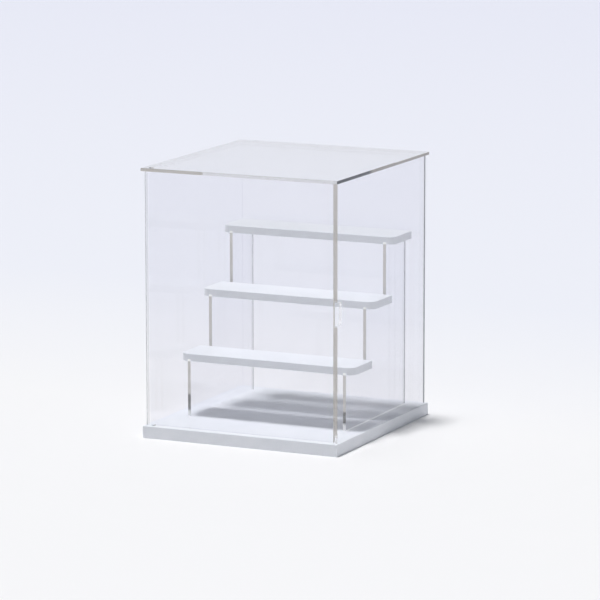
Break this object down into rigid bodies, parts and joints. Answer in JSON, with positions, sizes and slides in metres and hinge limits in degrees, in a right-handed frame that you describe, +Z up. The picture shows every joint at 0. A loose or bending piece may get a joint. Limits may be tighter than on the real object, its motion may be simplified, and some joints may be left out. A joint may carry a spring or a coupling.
{
  "type": "acrylic figure display stand",
  "caption": "Clear display case with a pivoting front door on a white base board, and a stepped riser with white shelves inside.",
  "frame": {"origin": "middle of the base board's underside, on the surface that the case stands on", "axes": "+Z up, +Y towards the back wall, +X towards the wall with the finger notch; the door faces -Y"},
  "size_m": [0.2, 0.21, 0.255],
  "materials": {
    "clear_acrylic": "clear, polished",
    "white_base": "satin white",
    "white_shelf": "satin white"
  },
  "bodies": {
    "case": {"base_board": "white_base", "top_sheet": "clear_acrylic", "left_side_panel": "clear_acrylic", "right_side_panel": "clear_acrylic", "back_panel": "clear_acrylic", "riser_left_side": "clear_acrylic", "riser_right_side": "clear_acrylic", "lower_shelf": "white_shelf", "middle_shelf": "white_shelf", "upper_shelf": "white_shelf"},
    "door": {"front_door": "clear_acrylic"}
  },
  "joints": [
    {"name": "door_hinge", "type": "hinge", "parent": "case", "child": "door", "pos_m": [-0.0917, -0.099, 0.132], "axis": [0, 0, -1], "range_deg": [0, 125]}
  ]
}
